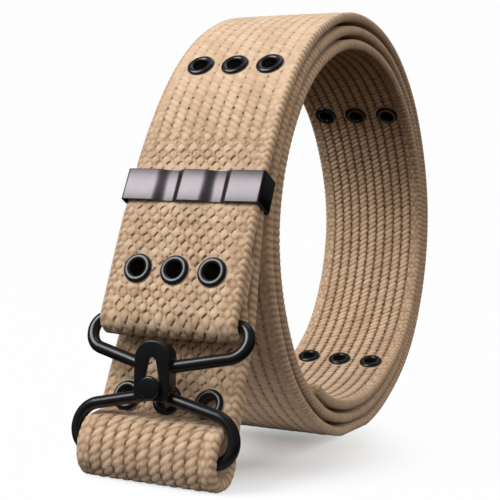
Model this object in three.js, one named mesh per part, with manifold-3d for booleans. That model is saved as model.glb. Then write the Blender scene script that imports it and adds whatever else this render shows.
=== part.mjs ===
// An army belt of thick cotton webbing, coiled up with its wire buckle fastened.
// Millimetres, X across the strap, Y to the back, Z up, standing on z = 0.
import * as THREE from 'three';
import { mergeVertices } from 'three/addons/utils/BufferGeometryUtils.js';
import Module from 'manifold-3d';

const wasm = await Module();
wasm.setup();

// The webbing
const strapWidth = 57;
const strapThickness = 3.9;
const selvageBevel = 0.9;
const clearance = 0.3;

// The coil, an oval spiral that tightens by one layer each turn
const coilReach = 119.4;
const layerPitch = 6.2;
const coilStartTurn = -0.1;
const coilEndTurn = 2.6;
const coilStep = 0.025;
const floorFlat = 1.1;

// The front run, from the coil's top down to the upper fold
const upperBarAhead = 17.4;
const upperBarHeight = 59.1;
const frontLean = 19.9;
const frontTopPull = 0.335;
const frontFootPull = 0.38;
const frontStep = 8;
const foldedTail = 27;
const tailTaper = 12;

// The lower strap, with its roll on the floor
const rollRadius = 10.4;
const rollForward = 9.2;
const rollRise = 2.6;
const rollFlat = 0.5;
const lowerStrapAbove = 1;
const lowerTailAbove = 7.5;
const lowerTailBelow = 5;
const lowerStrapSteps = 44;
const rollAngles = [22, 45, 75, 105, 135, 165, 195, 225, 255, 280];

// The wire buckle
const wireDiameter = 4.7;
const wireSides = 8;
const wireSteps = 44;
const loopOverhang = 4.4;
const upperLoopDrop = 10.6;
const upperLoopForward = 5.2;
const loopBend = 7;
const plateWidth = 14.6;
const plateHeight = 22.2;
const plateDepth = 6.6;
const plateWall = 2;
const plateBevel = 0.8;
const plateForward = 15.3;
const plateTopDrop = 6.3;
const plateCorner = 2.4;
const hollowCorner = 0.5;
const wireEndInset = 1.4;
const wireInPlateDrop = 16;
const slotTopRadius = 1.7;
const slotFootRadius = 3.5;
const slotTopBelowPlate = 8;
const studHeadDiameter = 8.8;
const studHeadThickness = 2;
const studHeadEdge = 0.6;
const studNeckDiameter = 4.4;
const studDrop = 23.6;
const studSides = 20;
const lowerLoopAbove = 0;
const lowerWireDrop = 3;

// The keeper, a flat band with shallow channels pressed into its face
const keeperHeight = 13.5;
const keeperAbove = 45.6;
const keeperWall = 0.8;
const keeperFace = 1.9;
const keeperSideGap = 0.6;
const keeperSlack = 0.25;
const keeperCorner = 1.1;
const channelCount = 2;
const channelPitch = 20.6;
const channelFloor = 6.4;
const channelSlope = 3.4;
const channelDepth = 1.2;

// The eyelets
const eyeletHole = 6.2;
const eyeletFlange = 11.8;
const eyeletWall = 0.45;
const eyeletDome = 1.3;
const eyeletBack = 1;
const eyeletPitch = 15.8;
const wideEyeletPitch = 17.5;
const eyeletsInRow = 3;
const eyeletEdge = 0.35;
const eyeletMargin = 0.8;
const eyeletSides = 12;

// Shares of coilReach, from the top of the coil over the back, the floor and the front
const coilShape = [
  { angle: 0, share: 0.828 },
  { angle: 30, share: 0.854 },
  { angle: 60, share: 0.923 },
  { angle: 90, share: 1.001 },
  { angle: 120, share: 0.98 },
  { angle: 150, share: 0.894 },
  { angle: 180, share: 0.863 },
  { angle: 210, share: 0.89 },
  { angle: 240, share: 0.947 },
  { angle: 270, share: 0.993 },
  { angle: 300, share: 0.939 },
  { angle: 330, share: 0.864 },
];

// Heights of an eyelet's rolled edges, as shares of its dome in front and of its flange behind
const eyeletShoulder = 0.6;
const eyeletLip = 0.45;
const eyeletBackLip = 0.4;

// Rows on the front run are placed by their distance above the upper bar, rows on the coil by turn.
// A row with two layers holds the folded tail too.
const frontRows = [
  { name: 'lower_front', above: 17.8, layers: 2, pitch: eyeletPitch },
  { name: 'upper_front', above: 113.6, layers: 1, pitch: eyeletPitch },
];
const coilRows = [
  { name: 'top_back', turn: 0.13, layers: 1, outward: 1, pitch: eyeletPitch },
  { name: 'low_back', turn: 0.4, layers: 1, outward: 1, pitch: eyeletPitch },
  { name: 'inner_high', turn: 2.129, layers: 1, outward: -1, pitch: wideEyeletPitch },
  { name: 'inner_low', turn: 2.398, layers: 1, outward: -1, pitch: wideEyeletPitch },
];
const lowerRow = { name: 'buckle', above: 6.8, layers: 2, pitch: wideEyeletPitch };

// What follows from the sizes above
const halfThickness = strapThickness / 2;
const layerStep = strapThickness + clearance;
const wireRadius = wireDiameter / 2;
const barRadius = wireRadius + clearance + halfThickness;
const loopX = strapWidth / 2 + loopOverhang;
const rollMiddle = rollRadius - halfThickness;

const webbing = new THREE.MeshStandardMaterial({ color: 0xc3a27c, roughness: 0.95, metalness: 0 });
const blackMetal = new THREE.MeshStandardMaterial({ color: 0x1b1c1e, roughness: 0.38, metalness: 0.6 });
const gunmetal = new THREE.MeshStandardMaterial({ color: 0x6d6368, roughness: 0.25, metalness: 0.9 });

// A flat point of the side view as (y, z)
const flat = (y, z) => new THREE.Vector2(y, z);

const shareCurve = new THREE.CatmullRomCurve3(
  coilShape.map((row) => new THREE.Vector3(row.angle, row.share, 0)), true, 'catmullrom');

function coilShare(turn) {
  return shareCurve.getPoint(turn - Math.floor(turn)).y;
}

const coilHeight = coilShare(0.5) * coilReach - layerPitch / 2 - floorFlat;

// A point of a strap's middle line, pressed flat where the strap meets the floor
function pressed(point) {
  return flat(point.x, Math.max(point.y, halfThickness));
}

// The middle of the webbing at a turn of the spiral
function coilPoint(turn) {
  const reach = coilShare(turn) * coilReach - layerPitch * turn - halfThickness;
  const angle = turn * 2 * Math.PI;
  return pressed(flat(reach * Math.sin(angle), coilHeight + reach * Math.cos(angle)));
}

function coilTangent(turn) {
  const small = 0.002;
  return coilPoint(turn + small).sub(coilPoint(turn - small)).normalize();
}

const upperBar = flat(-coilReach - upperBarAhead, upperBarHeight);
const lean = THREE.MathUtils.degToRad(frontLean);
const down = flat(-Math.sin(lean), -Math.cos(lean));
const forward = flat(-Math.cos(lean), Math.sin(lean));

// The front run as one curve from the upper bar up to the coil
const frontFoot = upperBar.clone().addScaledVector(forward, barRadius);
const frontTop = coilPoint(coilStartTurn);
const frontSpan = frontTop.distanceTo(frontFoot);
const frontRun = new THREE.CubicBezierCurve(
  frontFoot,
  frontFoot.clone().addScaledVector(down, -frontFootPull * frontSpan),
  frontTop.clone().addScaledVector(coilTangent(coilStartTurn), -frontTopPull * frontSpan),
  frontTop,
);
const frontLength = frontRun.getLength();

// A point at a distance above the upper bar, and as far behind the middle of the front run as asked
function frontPoint(above, behind) {
  const share = Math.max(above, 0) / frontLength;
  const along = frontRun.getTangentAt(share);
  const point = frontRun.getPointAt(share).addScaledVector(along, Math.min(above, 0));
  return point.add(flat(along.y, -along.x).multiplyScalar(behind));
}

function tailBehind(above) {
  const spread = 2 * barRadius - layerStep;
  return layerStep + spread * (1 - THREE.MathUtils.smoothstep(above, 0, tailTaper));
}

// The webbing lies flat under an eyelet, so a row's place is kept as one straight step of the line
const flatReach = eyeletFlange / 2 + eyeletMargin;
const flatSpare = 1.25;

function flatTurn(turn) {
  return flatReach / (2 * Math.PI * coilPoint(turn).distanceTo(flat(0, coilHeight)));
}

// Even steps from start to end, with the ones inside a flat place left out and its two ends put in
function stepsBetween(start, end, step, flats) {
  const count = Math.round((end - start) / step);
  const even = Array.from({ length: count + 1 }, (_, i) => start + (end - start) * i / count);
  const isClear = (value) => flats.every((place) => Math.abs(value - place.middle) > place.half * flatSpare);
  const clear = even.filter(isClear);
  const ends = flats.flatMap((place) => [place.middle - place.half, place.middle + place.half]);
  return [...clear, ...ends].sort((a, b) => a - b);
}

// The main strap's middle line, from the end of the folded tail to the inner end of the coil
function strapLine() {
  const line = [];
  const tailSteps = 7;
  for (let i = 0; i < tailSteps; i += 1) {
    const above = foldedTail * (1 - i / tailSteps);
    line.push(frontPoint(above, tailBehind(above)));
  }
  const foldSteps = 8;
  for (let i = 0; i <= foldSteps; i += 1) {
    const angle = Math.PI * (1 - i / foldSteps);
    const point = upperBar.clone().addScaledVector(forward, barRadius * Math.cos(angle));
    line.push(point.addScaledVector(down, barRadius * Math.sin(angle)));
  }
  const frontFlats = frontRows.map((row) => ({ middle: row.above, half: flatReach }));
  const frontEnd = frontLength - frontStep;
  line.push(...stepsBetween(frontStep, frontEnd, frontStep, frontFlats).map((above) => frontPoint(above, 0)));
  const coilFlats = coilRows.map((row) => ({ middle: row.turn, half: flatTurn(row.turn) }));
  line.push(...stepsBetween(coilStartTurn, coilEndTurn, coilStep, coilFlats).map(coilPoint));
  return line;
}

const roll = flat(upperBar.x - rollForward, rollRadius - rollFlat);
const rollTop = roll.y + rollMiddle + rollRise + halfThickness;

// A point of the roll's middle line, by degrees from its top over the front
function rollPoint(degrees) {
  const angle = THREE.MathUtils.degToRad(degrees);
  const rise = Math.cos(angle) > 0 ? rollMiddle + rollRise : rollMiddle;
  return flat(roll.x - rollMiddle * Math.sin(angle), roll.y + rise * Math.cos(angle));
}

// The lower strap's visible run, with places as shares of the way up from the roll's middle to the
// upper bar and of the strap's thickness behind the roll's middle
const lowerRun = [
  { up: 0.93, back: 5.15 },
  { up: 0.74, back: 4.35 },
  { up: 0.56, back: 3.35 },
  { up: 0.385, back: 2.4 },
  { up: 0.25, back: 1.65 },
];

function lowerRunPoint(row) {
  const rise = upperBar.y - roll.y;
  return flat(roll.x + row.back * strapThickness, roll.y + row.up * rise);
}

// The lower strap is held in the keeper and passes behind the folded tail. It rolls forward round the
// lower wire's bar on the floor and comes back up behind itself, held by its own row of eyelets.
const keeperTop = keeperAbove + keeperHeight;
const behindStrip = layerStep + keeperSlack;
const behindTail = 2 * layerStep + eyeletBack + clearance;
const lowerHang = new THREE.SplineCurve([
  frontPoint(keeperTop + lowerStrapAbove, behindStrip),
  frontPoint(keeperTop - keeperHeight / 2, behindStrip),
  frontPoint(keeperAbove, behindStrip),
  frontPoint(foldedTail - halfThickness, behindTail),
  ...lowerRun.map(lowerRunPoint),
]);
const lowerHangLength = lowerHang.getLength();

// A point of the lower strap at a distance above the end of its visible run, and behind its middle line
function lowerPoint(above, behind) {
  const share = 1 - above / lowerHangLength;
  const along = lowerHang.getTangentAt(share);
  return lowerHang.getPointAt(share).add(flat(-along.y, along.x).multiplyScalar(behind));
}

function lowerStrapLine() {
  const curve = new THREE.SplineCurve([
    ...lowerHang.points,
    ...rollAngles.map(rollPoint),
    lowerPoint(lowerRow.above - lowerTailBelow, layerStep),
    lowerPoint(lowerRow.above, layerStep),
    lowerPoint(lowerRow.above + lowerTailAbove, layerStep),
  ]);
  return curve.getSpacedPoints(lowerStrapSteps).map(pressed);
}

const sharpestSpread = 0.8;

// The outward side of a line at each of its points, lengthened so that a bend keeps its thickness
function sideways(line, i) {
  const before = line[Math.max(i - 1, 0)];
  const after = line[Math.min(i + 1, line.length - 1)];
  const along = after.clone().sub(before).normalize();
  const leg = line[Math.min(i + 1, line.length - 1)].clone().sub(line[Math.min(i, line.length - 2)]);
  const spread = Math.max(Math.abs(leg.normalize().dot(along)), sharpestSpread);
  return flat(-along.y, along.x).divideScalar(spread);
}

// A strap as a closed solid: the outline of its edge, extruded over its width with bevelled selvages
function strapGeometry(line) {
  const oneSide = line.map((point, i) => point.clone().addScaledVector(sideways(line, i), halfThickness));
  const otherSide = line.map((point, i) => point.clone().addScaledVector(sideways(line, i), -halfThickness));
  const shape = new THREE.Shape([...oneSide, ...otherSide.reverse()]);
  const geometry = new THREE.ExtrudeGeometry(shape, {
    depth: strapWidth - 2 * selvageBevel,
    bevelEnabled: true,
    bevelThickness: selvageBevel,
    bevelSize: selvageBevel,
    bevelOffset: -selvageBevel,
    bevelSegments: 1,
  });
  geometry.translate(0, 0, selvageBevel - strapWidth / 2);
  // The outline's x and y become Y and Z, and its depth runs across the strap
  geometry.applyMatrix4(new THREE.Matrix4().set(0, 0, 1, 0, 1, 0, 0, 0, 0, 1, 0, 0, 0, 0, 0, 1));
  return geometry;
}

const weldDistance = 1e-4;

function toManifold(geometry) {
  const bare = geometry.clone();
  bare.deleteAttribute('normal');
  bare.deleteAttribute('uv');
  const merged = mergeVertices(bare, weldDistance);
  const mesh = new wasm.Mesh({
    numProp: 3,
    vertProperties: new Float32Array(merged.attributes.position.array),
    triVerts: new Uint32Array(merged.index.array),
  });
  return new wasm.Manifold(mesh);
}

function toGeometry(manifold) {
  const mesh = manifold.getMesh();
  const geometry = new THREE.BufferGeometry();
  geometry.setAttribute('position', new THREE.BufferAttribute(new Float32Array(mesh.vertProperties), 3));
  geometry.setIndex(new THREE.BufferAttribute(new Uint32Array(mesh.triVerts), 1));
  geometry.computeVertexNormals();
  return geometry;
}

// Where an eyelet of a row sits: a point on the strap's middle line, and the way its domed side faces
function seatBetween(row, from, to, outward) {
  const along = to.clone().sub(from).normalize();
  const point = from.clone().add(to).divideScalar(2);
  return { ...row, point, facing: flat(-along.y, along.x).multiplyScalar(outward) };
}

function frontSeat(row) {
  return seatBetween(row, frontPoint(row.above - flatReach, 0), frontPoint(row.above + flatReach, 0), 1);
}

function coilSeat(row) {
  const half = flatTurn(row.turn);
  return seatBetween(row, coilPoint(row.turn - half), coilPoint(row.turn + half), row.outward);
}

function lowerSeat(row) {
  return seatBetween(row, lowerPoint(row.above - flatReach, 0), lowerPoint(row.above + flatReach, 0), 1);
}

function rowPlaces(row) {
  return Array.from({ length: eyeletsInRow }, (_, i) => (i - (eyeletsInRow - 1) / 2) * row.pitch);
}

// Turns a piece made along Y so that Y follows the seat's facing side, and sets it on the seat
function seatMatrix(seat, x) {
  const facing = new THREE.Vector3(0, seat.facing.x, seat.facing.y);
  const turn = new THREE.Quaternion().setFromUnitVectors(new THREE.Vector3(0, 1, 0), facing);
  const place = new THREE.Vector3(x, seat.point.x, seat.point.y);
  return new THREE.Matrix4().compose(place, turn, new THREE.Vector3(1, 1, 1));
}

// How far behind the middle of its own layer an eyelet's back flange sits
function backSeat(layers) {
  return halfThickness + clearance + (layers - 1) * layerStep;
}

function holeCutter(seat, x) {
  const spare = (layerPitch - strapThickness) / 2;
  const front = halfThickness + spare;
  const back = halfThickness + spare + (seat.layers - 1) * layerStep;
  const radius = eyeletHole / 2 + eyeletWall + clearance;
  const cutter = new THREE.CylinderGeometry(radius, radius, front + back, eyeletSides);
  cutter.translate(0, (front - back) / 2, 0);
  return toManifold(cutter.applyMatrix4(seatMatrix(seat, x)));
}

function punched(geometry, seats) {
  let solid = toManifold(geometry);
  for (const seat of seats) {
    for (const x of rowPlaces(seat)) {
      solid = solid.subtract(holeCutter(seat, x));
    }
  }
  return toGeometry(solid);
}

// A rolled eyelet: a domed flange in front, a barrel through the webbing and a flatter flange behind
function eyeletGeometry(layers) {
  const hole = eyeletHole / 2;
  const barrel = hole + eyeletWall;
  const flange = eyeletFlange / 2;
  const front = halfThickness + clearance;
  const back = -backSeat(layers);
  const profile = [
    flat(hole, back - eyeletBack * eyeletBackLip),
    flat((hole + flange) / 2, back - eyeletBack),
    flat(flange, back),
    flat(barrel, back),
    flat(barrel, front),
    flat(flange, front),
    flat(flange - eyeletEdge, front + eyeletDome * eyeletShoulder),
    flat((hole + flange) / 2, front + eyeletDome),
    flat(hole, front + eyeletDome * eyeletLip),
    flat(hole, back - eyeletBack * eyeletBackLip),
  ];
  return new THREE.LatheGeometry(profile, eyeletSides);
}

function mesh(name, geometry, material) {
  const piece = new THREE.Mesh(geometry, material.clone());
  piece.name = name;
  return piece;
}

// A wire along straight runs whose corners are rounded, over at most half of a run
function wireGeometry(points, steps) {
  const path = new THREE.CurvePath();
  let from = points[0];
  for (let i = 1; i < points.length - 1; i += 1) {
    const corner = points[i];
    const before = corner.clone().sub(points[i - 1]);
    const after = points[i + 1].clone().sub(corner);
    const bend = Math.min(loopBend, before.length() / 2, after.length() / 2);
    const into = corner.clone().addScaledVector(before.normalize(), -bend);
    const out = corner.clone().addScaledVector(after.normalize(), bend);
    path.add(new THREE.LineCurve3(from, into));
    path.add(new THREE.QuadraticBezierCurve3(into, corner, out));
    from = out;
  }
  path.add(new THREE.LineCurve3(from, points[points.length - 1]));
  const section = new THREE.Shape().absarc(0, 0, wireRadius, 0, 2 * Math.PI);
  return new THREE.ExtrudeGeometry(section, { steps, curveSegments: wireSides / 2, extrudePath: path });
}

// A shape drawn in X and Z, extruded backwards from a front face
function plateGeometry(shape, front, depth, bevel) {
  const geometry = new THREE.ExtrudeGeometry(shape, {
    depth: depth - 2 * bevel,
    bevelEnabled: bevel > 0,
    bevelThickness: bevel,
    bevelSize: bevel,
    bevelOffset: -bevel,
    bevelSegments: 2,
    curveSegments: 5,
  });
  geometry.translate(0, 0, bevel);
  geometry.rotateX(Math.PI / 2);
  geometry.translate(0, front + depth, 0);
  return geometry;
}

// An upright plate outline with a round top and small round feet
function archShape(halfWidth, foot, top, corner) {
  const shape = new THREE.Shape();
  shape.moveTo(-halfWidth + corner, foot);
  shape.lineTo(halfWidth - corner, foot);
  shape.absarc(halfWidth - corner, foot + corner, corner, -Math.PI / 2, 0);
  shape.absarc(0, top - halfWidth, halfWidth, 0, Math.PI);
  shape.absarc(-halfWidth + corner, foot + corner, corner, Math.PI, 1.5 * Math.PI);
  return shape;
}

// A slot with a narrow round top and a wider round foot, joined by straight sides
function slotShape(topHeight, footHeight) {
  const tilt = Math.asin((slotFootRadius - slotTopRadius) / (topHeight - footHeight));
  const shape = new THREE.Shape();
  shape.absarc(0, topHeight, slotTopRadius, tilt, Math.PI - tilt);
  shape.absarc(0, footHeight, slotFootRadius, Math.PI - tilt, 2 * Math.PI + tilt);
  return shape;
}

const plateFront = upperBar.x - plateForward;
const plateTop = upperBar.y - plateTopDrop;
const studHeight = upperBar.y - studDrop;
const lowerCornerHeight = rollTop + wireRadius + lowerLoopAbove;
const lowerWireHeight = studHeight - lowerWireDrop;
const lowerWireSlope = (lowerWireHeight - lowerCornerHeight) / loopX;
const lowerWireY = plateFront + plateWall + clearance + wireRadius;

// The upper wire loop with its slotted hook plate, soldered into one
function upperBuckle() {
  const wireY = plateFront + plateDepth - wireRadius - clearance;
  const wireZ = upperBar.y - wireInPlateDrop;
  const endX = plateWidth / 2 - wireEndInset;
  const cornerY = upperBar.x - upperLoopForward;
  const cornerZ = upperBar.y - upperLoopDrop;
  const wire = wireGeometry([
    new THREE.Vector3(-endX, wireY, wireZ),
    new THREE.Vector3(-loopX, cornerY, cornerZ),
    new THREE.Vector3(-loopX, upperBar.x, upperBar.y),
    new THREE.Vector3(loopX, upperBar.x, upperBar.y),
    new THREE.Vector3(loopX, cornerY, cornerZ),
    new THREE.Vector3(endX, wireY, wireZ),
  ], wireSteps);
  const foot = plateTop - plateHeight;
  const outline = archShape(plateWidth / 2, foot, plateTop, plateCorner);
  const hollowWidth = plateWidth / 2 - plateWall;
  const hollow = archShape(hollowWidth, foot - 2 * plateWall, plateTop - plateWall, hollowCorner);
  const slotFoot = studHeight - studNeckDiameter / 2 - clearance + slotFootRadius;
  const slot = slotShape(plateTop - slotTopBelowPlate, slotFoot);
  const lowerWireRoom = new THREE.BoxGeometry(2 * plateWidth, plateDepth, plateHeight);
  const roomTop = lowerWireHeight - lowerWireSlope * hollowWidth + wireRadius + 2 * clearance;
  lowerWireRoom.translate(0, plateFront + plateWall + plateDepth / 2, roomTop - plateHeight / 2);
  const shell = toManifold(plateGeometry(outline, plateFront, plateDepth, plateBevel))
    .subtract(toManifold(plateGeometry(hollow, plateFront + plateWall, plateDepth, 0)))
    .subtract(toManifold(plateGeometry(slot, plateFront - plateWall, 3 * plateWall, 0)))
    .subtract(toManifold(lowerWireRoom));
  return toGeometry(shell.add(toManifold(wire)));
}

// The lower wire loop with the headed stud that hooks into the slot, soldered into one
function lowerBuckle() {
  const barY = roll.x - (rollMiddle - halfThickness - wireRadius - clearance);
  const middle = wireRadius / 2;
  const wire = wireGeometry([
    new THREE.Vector3(-middle, lowerWireY, lowerWireHeight),
    new THREE.Vector3(-loopX, lowerWireY, lowerCornerHeight),
    new THREE.Vector3(-loopX, barY, roll.y),
    new THREE.Vector3(loopX, barY, roll.y),
    new THREE.Vector3(loopX, lowerWireY, lowerCornerHeight),
    new THREE.Vector3(middle, lowerWireY, lowerWireHeight),
  ], wireSteps);
  const headRadius = studHeadDiameter / 2;
  const neckRadius = studNeckDiameter / 2;
  const headBack = plateFront - clearance;
  const headFront = headBack - studHeadThickness;
  const stud = new THREE.LatheGeometry([
    flat(0, headFront),
    flat(headRadius - studHeadEdge, headFront),
    flat(headRadius, headFront + studHeadEdge),
    flat(headRadius, headBack),
    flat(neckRadius, headBack),
    flat(neckRadius, lowerWireY + wireRadius),
    flat(0, lowerWireY + wireRadius),
  ], studSides);
  stud.translate(0, 0, studHeight);
  return toGeometry(toManifold(wire).add(toManifold(stud)));
}

// The keeper's outline, across the strap and out from the middle of the front run, with its channelled face
function keeperShape() {
  const inner = strapWidth / 2 + keeperSideGap;
  const outer = inner + keeperWall;
  const face = halfThickness + clearance + keeperFace;
  const back = -(behindStrip + halfThickness + clearance + keeperWall);
  const shape = new THREE.Shape();
  shape.moveTo(-outer, back + keeperCorner);
  shape.quadraticCurveTo(-outer, back, -outer + keeperCorner, back);
  shape.lineTo(outer - keeperCorner, back);
  shape.quadraticCurveTo(outer, back, outer, back + keeperCorner);
  shape.lineTo(outer, face - keeperCorner);
  shape.quadraticCurveTo(outer, face, outer - keeperCorner, face);
  for (let i = channelCount - 1; i >= 0; i -= 1) {
    const middle = (i - (channelCount - 1) / 2) * channelPitch;
    const deep = face - channelDepth;
    const near = channelFloor / 2;
    const far = near + channelSlope;
    const half = (near + far) / 2;
    shape.lineTo(middle + far, face);
    shape.bezierCurveTo(middle + half, face, middle + half, deep, middle + near, deep);
    shape.lineTo(middle - near, deep);
    shape.bezierCurveTo(middle - half, deep, middle - half, face, middle - far, face);
  }
  shape.lineTo(-outer + keeperCorner, face);
  shape.quadraticCurveTo(-outer, face, -outer, face - keeperCorner);
  const hole = new THREE.Path();
  hole.moveTo(-inner, back + keeperWall);
  hole.lineTo(-inner, face - keeperFace);
  hole.lineTo(inner, face - keeperFace);
  hole.lineTo(inner, back + keeperWall);
  shape.holes.push(hole);
  return shape;
}

function keeperGeometry() {
  const geometry = new THREE.ExtrudeGeometry(keeperShape(), {
    depth: keeperHeight,
    bevelEnabled: false,
    curveSegments: 4,
  });
  geometry.translate(0, 0, -keeperHeight / 2);
  const middle = keeperAbove + keeperHeight / 2;
  const point = frontPoint(middle, 0);
  const ahead = frontPoint(middle, -1).sub(point);
  const out = new THREE.Vector3(0, ahead.x, ahead.y).normalize();
  const along = new THREE.Vector3(1, 0, 0).cross(out);
  const turn = new THREE.Matrix4().makeBasis(new THREE.Vector3(1, 0, 0), out, along);
  turn.setPosition(0, point.x, point.y);
  return geometry.applyMatrix4(turn);
}

const belt = new THREE.Group();
const frontSeats = frontRows.map(frontSeat);
const coilSeats = coilRows.map(coilSeat);
const lowerSeats = [lowerSeat(lowerRow)];
belt.add(mesh('strap', punched(strapGeometry(strapLine()), [...frontSeats, ...coilSeats]), webbing));
belt.add(mesh('strap_lower', punched(strapGeometry(lowerStrapLine()), lowerSeats), webbing));
belt.add(mesh('keeper', keeperGeometry(), gunmetal));
belt.add(mesh('hook_loop', upperBuckle(), blackMetal));
belt.add(mesh('stud_loop', lowerBuckle(), blackMetal));
for (const seat of [...frontSeats, ...lowerSeats, ...coilSeats]) {
  rowPlaces(seat).forEach((x, i) => {
    const eyelet = mesh(`eyelet_${seat.name}_${i + 1}`, eyeletGeometry(seat.layers), blackMetal);
    eyelet.applyMatrix4(seatMatrix(seat, x));
    belt.add(eyelet);
  });
}

// The origin goes under the middle of the whole belt
const reach = new THREE.Box3().setFromObject(belt, true);
const centre = reach.getCenter(new THREE.Vector3());
belt.position.set(-centre.x, -centre.y, -reach.min.z);

export default belt;
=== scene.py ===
# %% [markdown]
# # A coiled army belt
# The belt is one long strap of thick cotton webbing, wound into a coil that stands on its edge. A
# short second strap carries the lower half of its wire buckle. The solids of the belt come from
# the frame, which already fixes every size and place. This lesson dresses them: the webbing gets
# its knobbly weave, the buckle its round wires, the eyelets their rolled rims, and everything
# gets a finish and a studio.

import math

import bpy
import numpy as np
from mathutils import Matrix, Vector


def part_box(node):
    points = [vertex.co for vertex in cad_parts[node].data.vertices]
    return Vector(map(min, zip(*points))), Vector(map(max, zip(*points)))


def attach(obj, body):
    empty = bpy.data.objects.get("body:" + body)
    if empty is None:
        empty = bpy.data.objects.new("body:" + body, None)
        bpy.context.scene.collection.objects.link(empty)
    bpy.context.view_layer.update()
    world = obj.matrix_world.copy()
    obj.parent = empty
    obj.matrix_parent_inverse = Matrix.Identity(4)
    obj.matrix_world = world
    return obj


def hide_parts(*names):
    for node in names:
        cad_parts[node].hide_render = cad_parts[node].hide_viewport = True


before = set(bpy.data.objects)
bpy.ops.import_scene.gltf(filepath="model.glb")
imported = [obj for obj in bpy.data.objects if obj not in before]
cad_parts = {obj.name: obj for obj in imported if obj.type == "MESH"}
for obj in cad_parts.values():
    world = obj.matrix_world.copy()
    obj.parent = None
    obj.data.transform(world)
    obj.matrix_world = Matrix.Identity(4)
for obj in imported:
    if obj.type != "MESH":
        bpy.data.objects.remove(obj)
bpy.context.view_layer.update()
print("nodes:", len(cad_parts))

# %% [markdown]
# ## Camera
# The photograph was taken with a longish lens, a little above the floor and from the belt's
# right. The camera is set by its place, its turn to the left, a slight dip and a slight roll.

# %% Camera
camera_place = (0.1935, -0.4786, 0.0937)
camera_turn = math.radians(24.28)
camera_dip = math.radians(0.951)
camera_roll = math.radians(2.289)

bpy.ops.object.camera_add()
camera = bpy.context.object
camera.name = "camera"
camera.data.sensor_width = 36
camera.data.lens = 78.05
upright = Matrix.Rotation(math.radians(90) - camera_dip, 4, "X")
turned_left = Matrix.Rotation(camera_turn, 4, "Z")
camera.matrix_world = (
    Matrix.Translation(camera_place) @ turned_left @ upright @ Matrix.Rotation(camera_roll, 4, "Z")
)
bpy.context.scene.camera = camera
print("camera at", camera_place)

# %% [markdown]
# ## Studio
# The belt stands in a white studio. One large soft light hangs at the front left, above the
# camera, a weaker one fills the right and a third hangs overhead. The floor takes the belt's
# shadow close by and turns into the white backdrop a short way off. Mirrored surfaces see a
# darker room than the cloth does, so that the black enamel keeps its black.

# %% Floor
black = (0, 0, 0)
floor_white = (0.88, 0.9, 0.95)
backdrop_white = (0.985, 0.985, 0.985)
shadow_middle = (0.016, -0.06, 0)
shadow_narrowing = (1.6, 1, 1)
shadow_reach = 0.125

bpy.ops.object.select_all(action="DESELECT")
bpy.ops.mesh.primitive_plane_add(size=40, location=(0, 0, 0))
floor = bpy.context.object
floor.name = "floor"
floor_material = bpy.data.materials.new("studio floor")
floor_material.use_nodes = True
floor_shader = floor_material.node_tree.nodes["Principled BSDF"]
floor_tree = floor_material.node_tree
floor_place = floor_tree.nodes.new("ShaderNodeTexCoord")
floor_distance = floor_tree.nodes.new("ShaderNodeVectorMath")
floor_distance.operation = "DISTANCE"
floor_distance.inputs[1].default_value = shadow_middle
floor_stretch = floor_tree.nodes.new("ShaderNodeMapping")
floor_stretch.inputs["Scale"].default_value = shadow_narrowing
floor_tree.links.new(floor_place.outputs["Object"], floor_stretch.inputs["Vector"])
floor_tree.links.new(floor_stretch.outputs["Vector"], floor_distance.inputs[0])
floor_fade = floor_tree.nodes.new("ShaderNodeMapRange")
floor_fade.interpolation_type = "SMOOTHSTEP"
floor_fade.inputs["From Max"].default_value = shadow_reach
floor_tree.links.new(floor_distance.outputs["Value"], floor_fade.inputs["Value"])
for socket, near_colour, far_colour in (
    ("Base Color", floor_white, black),
    ("Emission Color", black, backdrop_white),
):
    floor_ramp = floor_tree.nodes.new("ShaderNodeValToRGB")
    floor_ramp.color_ramp.elements[0].color = (*near_colour, 1)
    floor_ramp.color_ramp.elements[1].color = (*far_colour, 1)
    floor_tree.links.new(floor_fade.outputs["Result"], floor_ramp.inputs["Fac"])
    floor_tree.links.new(floor_ramp.outputs["Color"], floor_shader.inputs[socket])
floor_seen = floor_tree.nodes.new("ShaderNodeLightPath")
floor_tree.links.new(floor_seen.outputs["Is Camera Ray"], floor_shader.inputs["Emission Strength"])
floor_shader.inputs["Roughness"].default_value = 0.9
floor_shader.inputs["Specular IOR Level"].default_value = 0.1
floor.data.materials.append(floor_material)


# %% Lights
def soft_light(name, place, size, power, colour=(1, 1, 1)):
    """A square area light at a place, turned to face the belt."""
    bpy.ops.object.light_add(type="AREA", location=place)
    light = bpy.context.object
    light.name = name
    light.data.size = size
    light.data.energy = power
    light.data.color = colour
    light.rotation_euler = (Vector(belt_middle) - Vector(place)).to_track_quat("-Z", "Y").to_euler()
    return light


belt_middle = (0, 0, 0.09)
soft_light("key", place=(-0.62, -0.85, 0.92), size=0.75, power=17.0, colour=(0.97, 0.985, 1.0))
fill = soft_light("fill", place=(0.95, -0.75, 0.55), size=0.6, power=2.6)
fill.visible_glossy = False
soft_light("top", place=(0.0, 0.25, 1.3), size=0.9, power=2.5)

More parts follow.
